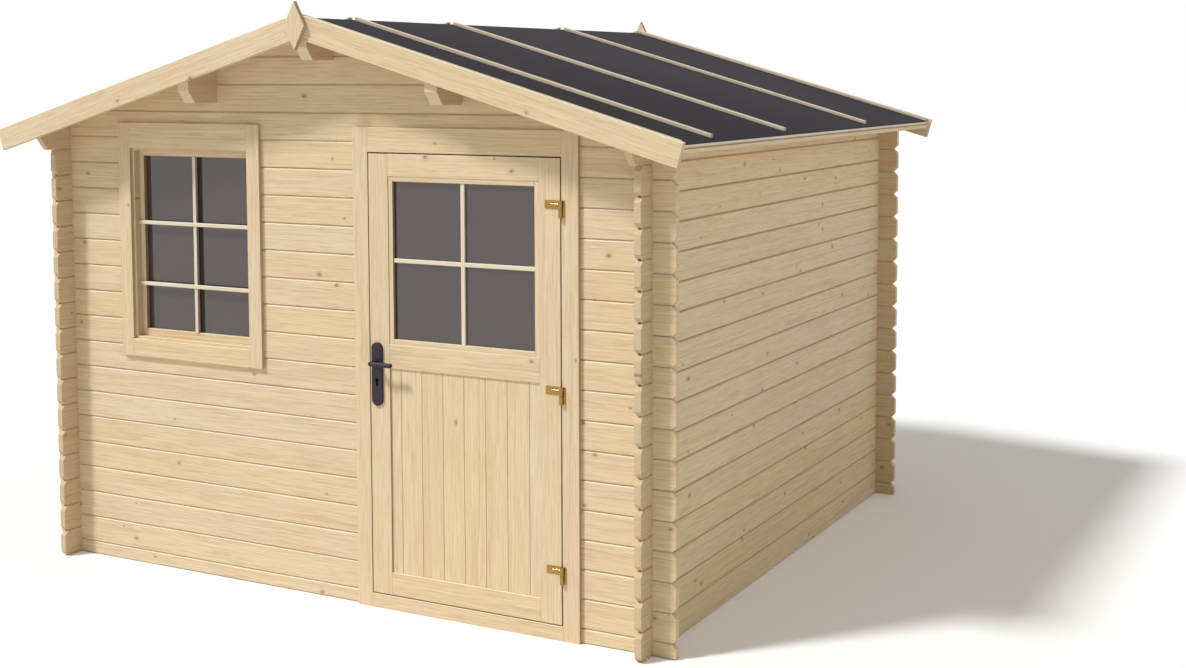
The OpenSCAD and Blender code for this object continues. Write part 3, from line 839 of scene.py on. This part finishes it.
def makeFloor():
    low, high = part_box("floor_boards")
    doorLeft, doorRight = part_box("door_frame")[0].x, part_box("door_frame")[1].x
    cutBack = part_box("door_frame")[1].y
    count = round((high.y - low.y) / floorBoards["width"])
    step = (high.y - low.y) / count
    boards = []
    for i in range(count):
        front, back = low.y + i * step, low.y + (i + 1) * step
        if front < cutBack:
            boards.append(((low.x, front, low.z), (doorLeft, back, high.z), xAxis, yAxis))
            boards.append(((doorRight, front, low.z), (high.x, back, high.z), xAxis, yAxis))
            boards.append(((doorLeft, cutBack, low.z), (doorRight, back, high.z), xAxis, yAxis))
        else:
            boards.append(((low.x, front, low.z), (high.x, back, high.z), xAxis, yAxis))
    floor = addBoards("floorPlanks", boards, floorBoards["edge"])
    finishWood(floor, "floor_planks", "floor_boards")
    dressNode("floor_joists", "_planed", deep)


makeFloor()
print("floor done")


# Door frame and trims

frameTimber = {
    "edge": 1.6 * mm,
    "trimSideShade": -0.4,           # painted shade on the narrow upright sides of the trims
    # painted shade on the upright sides of the lining and the sash
    "liningSideShade": -0.3,
    "sashSideShade": -0.7,
}


def dressTrims(name):
    trims = dressNode(name, "_planed", tall, frameTimber["edge"])
    toneFaces(trims, xAxis, frameTimber["trimSideShade"])


def makeDoorFrame():
    jambs = softCopy("door_frame", frameTimber["edge"])
    layGrain(jambs, zAxis, xAxis)
    finishWood(jambs, "door_jambs", "door_frame")
    sill = softCopy("door_sill", frameTimber["edge"])
    layGrain(sill, xAxis, yAxis)
    finishWood(sill, "door_sill_board", "door_sill")
    dressTrims("door_side_trims")
    dressNode("door_head_trim", "_planed", level, frameTimber["edge"])
    low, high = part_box("door_frame")
    inLow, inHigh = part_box("door_inner_trim")
    width = low.x - inLow.x
    inner = addBoards("doorInner", [
        (inLow, (inLow.x + width, inHigh.y, inHigh.z), zAxis, xAxis),
        ((inHigh.x - width, inLow.y, inLow.z), inHigh, zAxis, xAxis),
        ((inLow.x + width, inLow.y, high.z), (inHigh.x - width, inHigh.y, inHigh.z), xAxis, zAxis)])
    finishWood(inner, "door_inner_boards", "door_inner_trim")


makeDoorFrame()
print("door frame done")


# Window: lining, sash, glazing bars and trims

windowPlan = {
    "barWidth": 16.5 * mm,
    "barDepth": 15 * mm,
    "uprightProud": 6 * mm,          # face of the upright bar in front of the face of the sash
    "levelProud": 12 * mm,
    "barLap": 22 * mm,               # how far a level bar runs over the sash
    # painted shade on the upright sides of the bars
    "barSideShade": -0.55,
    "barEdge": 2 * mm,
    "barHeights": (0.264, 0.617),    # shares of the glass height, from the bottom
}


def ringBoards(low, high, side, foot):
    # four boards round a hole: two uprights, with a head and a foot between them
    return [
        (low, (low.x + side, high.y, high.z), zAxis, xAxis),
        ((high.x - side, low.y, low.z), high, zAxis, xAxis),
        ((low.x + side, low.y, high.z - side), (high.x - side, high.y, high.z), xAxis, zAxis),
        ((low.x + side, low.y, low.z), (high.x - side, high.y, low.z + foot), xAxis, zAxis)]


def makeWindow():
    glassLow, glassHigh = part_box("window_glass")
    sashLow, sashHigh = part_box("window_sash")
    frameLow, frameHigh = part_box("window_frame")
    sash = addBoards("sash", ringBoards(
        sashLow, sashHigh, glassLow.x - sashLow.x, glassLow.z - sashLow.z))
    toneFaces(sash, xAxis, frameTimber["sashSideShade"])
    finishWood(sash, "window_sash_bars", "window_sash")
    lining = addBoards("lining", ringBoards(
        frameLow, frameHigh, sashLow.x - frameLow.x, sashLow.z - frameLow.z))
    toneFaces(lining, xAxis, frameTimber["liningSideShade"])
    finishWood(lining, "window_lining", "window_frame")
    dressTrims("window_side_trims")
    dressNode("window_cross_trims", "_planed", level, frameTimber["edge"])
    inLow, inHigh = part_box("window_inner_trim")
    width = frameLow.x - inLow.x
    inner = addBoards("windowInner", ringBoards(inLow, inHigh, width, width))
    finishWood(inner, "window_inner_boards", "window_inner_trim")
    # glazing bars: an upright between the rails, and two level ones that lap over the sash
    upright = sashLow.y - windowPlan["uprightProud"]
    front = sashLow.y - windowPlan["levelProud"]
    half = windowPlan["barWidth"] / 2
    middle = (glassLow.x + glassHigh.x) / 2
    bars = [((middle - half, upright, glassLow.z),
             (middle + half, upright + windowPlan["barDepth"], glassHigh.z), zAxis, xAxis)]
    for share in windowPlan["barHeights"]:
        z = glassLow.z + share * (glassHigh.z - glassLow.z)
        bars.append(((glassLow.x - windowPlan["barLap"], front, z - half),
                     (glassHigh.x + windowPlan["barLap"], sashLow.y, z + half), xAxis, zAxis))
    bars = toneFaces(addBoards("windowBars", bars, windowPlan["barEdge"]), xAxis,
                     windowPlan["barSideShade"])
    finishWood(bars, "window_glazing_bars", wood=primedSpruce)


makeWindow()
print("window done")


# Door leaf

leafPlan = {
    "beadWidth": 20 * mm,
    "beadBack": 3 * mm,          # bead face behind the face of the leaf
    "barWidth": 17 * mm,
    "barBack": 7 * mm,           # glazing bar face behind the face of the leaf
    "stileSideShade": -0.45,         # painted shade on the upright sides of the stiles
    # painted shade on the upright sides of the beads
    "beadSideShade": -0.6,
    # painted highlight on the tops of the rails
    "railTopLight": 0.7,
    "barEdge": 2 * mm,
    "barStep": 0.5 * mm,         # level bar behind the upright one
    "tongueWidth": 8 * mm,
    "tongueThick": 4 * mm,
    "boardWidth": 98 * mm,
    "boardEdge": 2 * mm,
    "boardGap": 1 * mm,
    # painted highlight and painted shade on the bevels of the panel boards
    "boardBevelLight": (0.3, -0.1, -0.3),
}


def makeLeaf():
    stileLow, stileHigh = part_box("door_stiles")
    glassLow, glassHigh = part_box("door_glass")
    panelLow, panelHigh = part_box("door_panel")
    stiles = dressNode("door_stiles", "_planed", tall, frameTimber["edge"], "door")
    toneFaces(stiles, xAxis, leafPlan["stileSideShade"])
    rails = dressNode("door_rails", "_planed", level, frameTimber["edge"], "door")
    toneFaces(rails, zAxis, leafPlan["railTopLight"])

    # beads that hold the glass, in front and behind
    bead = leafPlan["beadWidth"]
    face = stileLow.y + leafPlan["beadBack"]
    beads = ringBoards(Vector((glassLow.x, face, glassLow.z)),
                       Vector((glassHigh.x, glassLow.y, glassHigh.z)), bead, bead)
    beads += ringBoards(Vector((glassLow.x, glassHigh.y, glassLow.z)),
                        Vector((glassHigh.x, stileHigh.y, glassHigh.z)), bead, bead)
    beads = toneFaces(addBoards("beads", beads), xAxis, leafPlan["beadSideShade"])
    finishWood(beads, "door_glazing_beads", body="door")

    half = leafPlan["barWidth"] / 2
    front, back = stileLow.y + leafPlan["barBack"], glassLow.y
    middleX, middleZ = (glassLow.x + glassHigh.x) / 2, (glassLow.z + glassHigh.z) / 2
    bars = addBoards("doorBars", [
        ((middleX - half, front, glassLow.z + bead), (middleX + half, back, glassHigh.z - bead),
         zAxis, xAxis),
        ((glassLow.x + bead, front + leafPlan["barStep"], middleZ - half),
         (glassHigh.x - bead, back, middleZ + half), xAxis, zAxis)], leafPlan["barEdge"])
    finishWood(bars, "door_glazing_bars", body="door", wood=primedSpruce)

    # tongued and grooved boards of the lower panel, counted from its middle
    width, gap = leafPlan["boardWidth"], leafPlan["boardGap"] / 2
    middle = (panelLow.x + panelHigh.x) / 2
    count = math.ceil((panelHigh.x - middle) / width)
    seams = [middle + i * width for i in range(-count, count + 1)]
    boards = []
    for left, right in zip(seams, seams[1:]):
        left = max(left + gap, panelLow.x)
        right = min(right - gap, panelHigh.x)
        boards.append(((left, panelLow.y, panelLow.z), (right, panelHigh.y, panelHigh.z),
                       zAxis, xAxis))
    tongueY = (panelLow.y + panelHigh.y) / 2
    halfWidth, halfThick = leafPlan["tongueWidth"] / 2, leafPlan["tongueThick"] / 2
    for seam in seams[1:-1]:
        boards.append(((seam - halfWidth, tongueY - halfThick, panelLow.z),
                       (seam + halfWidth, tongueY + halfThick, panelHigh.z), zAxis, xAxis))
    panel = addBoards("panelBoards", boards, leafPlan["boardEdge"], leafPlan["boardBevelLight"])
    finishWood(panel, "door_panel_boards", "door_panel", body="door")


makeLeaf()
print("door leaf done")


# Ironmongery

metalSmooth = 30                 # degrees: metal that bends less than this is shaded smooth

hingePlan = {
    "ribRadius": 6.5 * mm,
    "ribShare": 0.68,            # of the plate's length
    "ribSink": 2 * mm,
    "ribEnd": 2.5 * mm,          # radius of its rounded ends
    "ribSegments": 4,            # of their rounding
    "ribSides": 24,              # round the rib
    "ribLoop": 3 * mm,           # an edge loop this far from each end keeps the middle straight
    "knuckle": 8 * mm,           # radius of the barrel
    "edge": 0.8 * mm,
    "plateArea": 0.0003,         # square metres: the plate is the middle of a face over this
    "plateFacing": 0.99,         # that looks this squarely to the front
}


def makeHinges():
    leafHinges = looseParts(softCopy("leaf_hinges", hingePlan["edge"]))
    for hinge in list(leafHinges):
        low = Vector([min(v.co[i] for v in hinge.data.vertices) for i in range(3)])
        high = Vector([max(v.co[i] for v in hinge.data.vertices) for i in range(3)])
        plateFaces = [f for f in hinge.data.polygons if f.area > hingePlan["plateArea"]
                      and f.normal.y < -hingePlan["plateFacing"]]
        middle = Vector(max(plateFaces, key=lambda f: f.area).center)
        right = high.x - hingePlan["knuckle"]
        length = (right - low.x) * hingePlan["ribShare"]
        centre = (right - length / 2, middle.y + hingePlan["ribSink"], middle.z)
        rib = addRod("rib", hingePlan["ribRadius"], length, centre, "X", hingePlan["ribSides"])
        roundEdges(rib, hingePlan["ribEnd"], hingePlan["ribSegments"])
        for x in (right - length + hingePlan["ribLoop"], right - hingePlan["ribLoop"]):
            editAll(rib)
            bpy.ops.mesh.bisect(plane_co=(x, 0, 0), plane_no=(1, 0, 0))
            leaveEdit()
        leafHinges.append(rib)
    whole = joinPieces(leafHinges, "leafHinges")
    finishPiece(whole, "leaf_hinges_plated", "door", yellowZinc,
                ("leaf_hinges",), metalSmooth)
    finishPiece(softCopy("frame_hinges", hingePlan["edge"]), "frame_hinges_plated", "shed",
                yellowZinc, ("frame_hinges",), metalSmooth)


lockPlan = {
    "down": 24 * mm,             # middle of the round part, below the middle of the plate
    "radius": 8.2 * mm,
    "foot": 9.4 * mm,            # width of the part below it
    "tall": 32.4 * mm,           # of both together
    "proud": 1 * mm,             # how far it comes out of the leaf into the plate
    "deep": 6 * mm,
    "edge": 0.4 * mm,
}


def makeLockCylinder():
    # the profile cylinder behind the keyhole of the front plate
    plateLow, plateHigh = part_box("handle_plates")
    middleX = (plateLow.x + plateHigh.x) / 2
    roundZ = (plateLow.z + plateHigh.z) / 2 - lockPlan["down"]
    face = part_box("door_stiles")[0].y - lockPlan["proud"]
    back = face + lockPlan["deep"]
    half = lockPlan["foot"] / 2
    footZ = roundZ + lockPlan["radius"] - lockPlan["tall"] + half
    middleY = (face + back) / 2
    parts = [
        addRod("lock", lockPlan["radius"], lockPlan["deep"], (middleX, middleY, roundZ), "Y"),
        addRod("lock", half, lockPlan["deep"], (middleX, middleY, footZ), "Y"),
        addBox("lock", (middleX - half, face, footZ), (middleX + half, back, roundZ))]
    for part in parts:
        roundEdges(part, lockPlan["edge"])
    # its near-black colour is painted shade for the depth of the keyhole
    finishPiece(joinPieces(parts, "lock"), "lock_cylinder", "door",
                keyholeShade, smooth=metalSmooth)


handlePlan = {
    "plateEdge": 1.5 * mm,
    "plateSegments": 3,
    "leverEdge": 0.5 * mm,
    "leverSmooth": 40,           # degrees: the grip bends more than the rest
}


def makeHandle():
    plates = softCopy("handle_plates", handlePlan["plateEdge"], handlePlan["plateSegments"])
    finishPiece(plates, "handle_plates_coated", "door", powderCoat,
                ("handle_plates",), metalSmooth)
    finishPiece(softCopy("door_lever", handlePlan["leverEdge"]), "door_lever_coated", "lever",
                powderCoat, ("door_lever",), handlePlan["leverSmooth"])


makeHinges()
makeLockCylinder()
makeHandle()
for name in ("window_glass", "door_glass"):
    pane = nodes[name]
    pane.data.materials.clear()
    pane.data.materials.append(floatGlass)
print("fittings done")


# Studio: floor, light and camera

studio = {
    "lightTravel": (0.9, 1.0, -1.63),    # direction in which the light falls
    "keyStrength": 2.4,
    "keyAngle": 8.5,
    "keyColour": "#ffffff",
    "fillTravel": (-1.0, -0.1, -0.3),    # a weak, broad lamp for the side in the shade
    "fillStrength": 0.16,
    "fillAngle": 40,
    "skyStrength": 0.395,
    "skyColour": "#fdfaf7",
    "floorColour": "#e8e8e8",
    "floorGlow": 0.05,                   # lifts the floor to white, for the camera only
    "floorSize": 160,
    "cameraPlace": (3.989, -6.565, 2.152),
    "cameraYaw": 27.97,
    "cameraPitch": -4.20,
    "cameraRoll": -0.166,
    "lens": 48.91,
    "sensor": 36,                        # millimetres
    "shiftY": -0.12,
    "farthest": 300,
}


def seenDirectly(tree):
    # 1 for the camera and for what it sees in metal and glass
    path = addNode(tree, "LightPath")
    seen = path.outputs["Is Camera Ray"]
    for ray in ("Is Glossy Ray", "Is Transmission Ray"):
        either = addNode(tree, "Math", {"operation": "MAXIMUM"}, {0: seen, 1: path.outputs[ray]})
        seen = either.outputs[0]
    return seen


def makeFloorAndBackdrop():
    bpy.ops.object.select_all(action="DESELECT")
    bpy.ops.mesh.primitive_plane_add(size=studio["floorSize"], location=(0, 0, cadLow.z))
    ground = bpy.context.object
    ground.name = "studioFloor"
    applyPlace(ground)
    material, tree, surface = newMaterial("paleStudioFloor")
    seen = seenDirectly(tree)
    seenFloor = addNode(tree, "Mix", {"data_type": "RGBA", "A": hexToLinear(studio["floorColour"]),
                                      "B": (1, 1, 1, 1)}, {"Factor": seen})
    tree.links.new(seenFloor.outputs[2], surface.inputs["Base Color"])
    glow = addNode(tree, "Math", {"operation": "MULTIPLY", 1: studio["floorGlow"]}, {0: seen})
    tree.links.new(glow.outputs[0], surface.inputs["Emission Strength"])
    surface.inputs["Emission Color"].default_value = (1, 1, 1, 1)
    surface.inputs["Roughness"].default_value = 1.0
    surface.inputs["Specular IOR Level"].default_value = 0.0
    ground.data.materials.append(material)

    world = bpy.data.worlds.new("studio")
    bpy.context.scene.world = world
    world.use_nodes = True
    tree = world.node_tree
    tree.nodes.clear()
    lit = addNode(tree, "Background", {"Color": hexToLinear(studio["skyColour"]),
                                       "Strength": studio["skyStrength"]})
    white = addNode(tree, "Background", {"Color": (1, 1, 1, 1), "Strength": 1.0})
    mix = addNode(tree, "MixShader", None, {0: seenDirectly(tree), 1: lit, 2: white})
    addNode(tree, "OutputWorld", None, {"Surface": mix})


def makeLight(name, travel, strength, angle):
    sun = bpy.data.lights.new(name, "SUN")
    sun.energy = strength
    sun.angle = math.radians(angle)
    sun.color = hexToLinear(studio["keyColour"])[:3]
    lamp = bpy.data.objects.new(name, sun)
    bpy.context.scene.collection.objects.link(lamp)
    lamp.rotation_mode = "QUATERNION"
    lamp.rotation_quaternion = Vector(travel).to_track_quat("-Z", "Y")


def makeCamera():
    data = bpy.data.cameras.new("camera")
    data.lens = studio["lens"]
    data.sensor_width = studio["sensor"]
    data.shift_y = studio["shiftY"]
    data.clip_end = studio["farthest"]
    camera = bpy.data.objects.new("camera", data)
    bpy.context.scene.collection.objects.link(camera)
    camera.location = studio["cameraPlace"]
    turn = Matrix.Rotation(math.radians(studio["cameraYaw"]), 4, "Z")
    turn = turn @ Matrix.Rotation(math.radians(90 + studio["cameraPitch"]), 4, "X")
    turn = turn @ Matrix.Rotation(math.radians(studio["cameraRoll"]), 4, "Z")
    camera.rotation_mode = "QUATERNION"
    camera.rotation_quaternion = turn.to_quaternion()
    bpy.context.scene.camera = camera


makeFloorAndBackdrop()
makeLight("softKey", studio["lightTravel"], studio["keyStrength"], studio["keyAngle"])
makeLight("sideFill", studio["fillTravel"], studio["fillStrength"], studio["fillAngle"])
makeCamera()
bpy.context.scene.view_settings.view_transform = "Standard"
print("studio done")
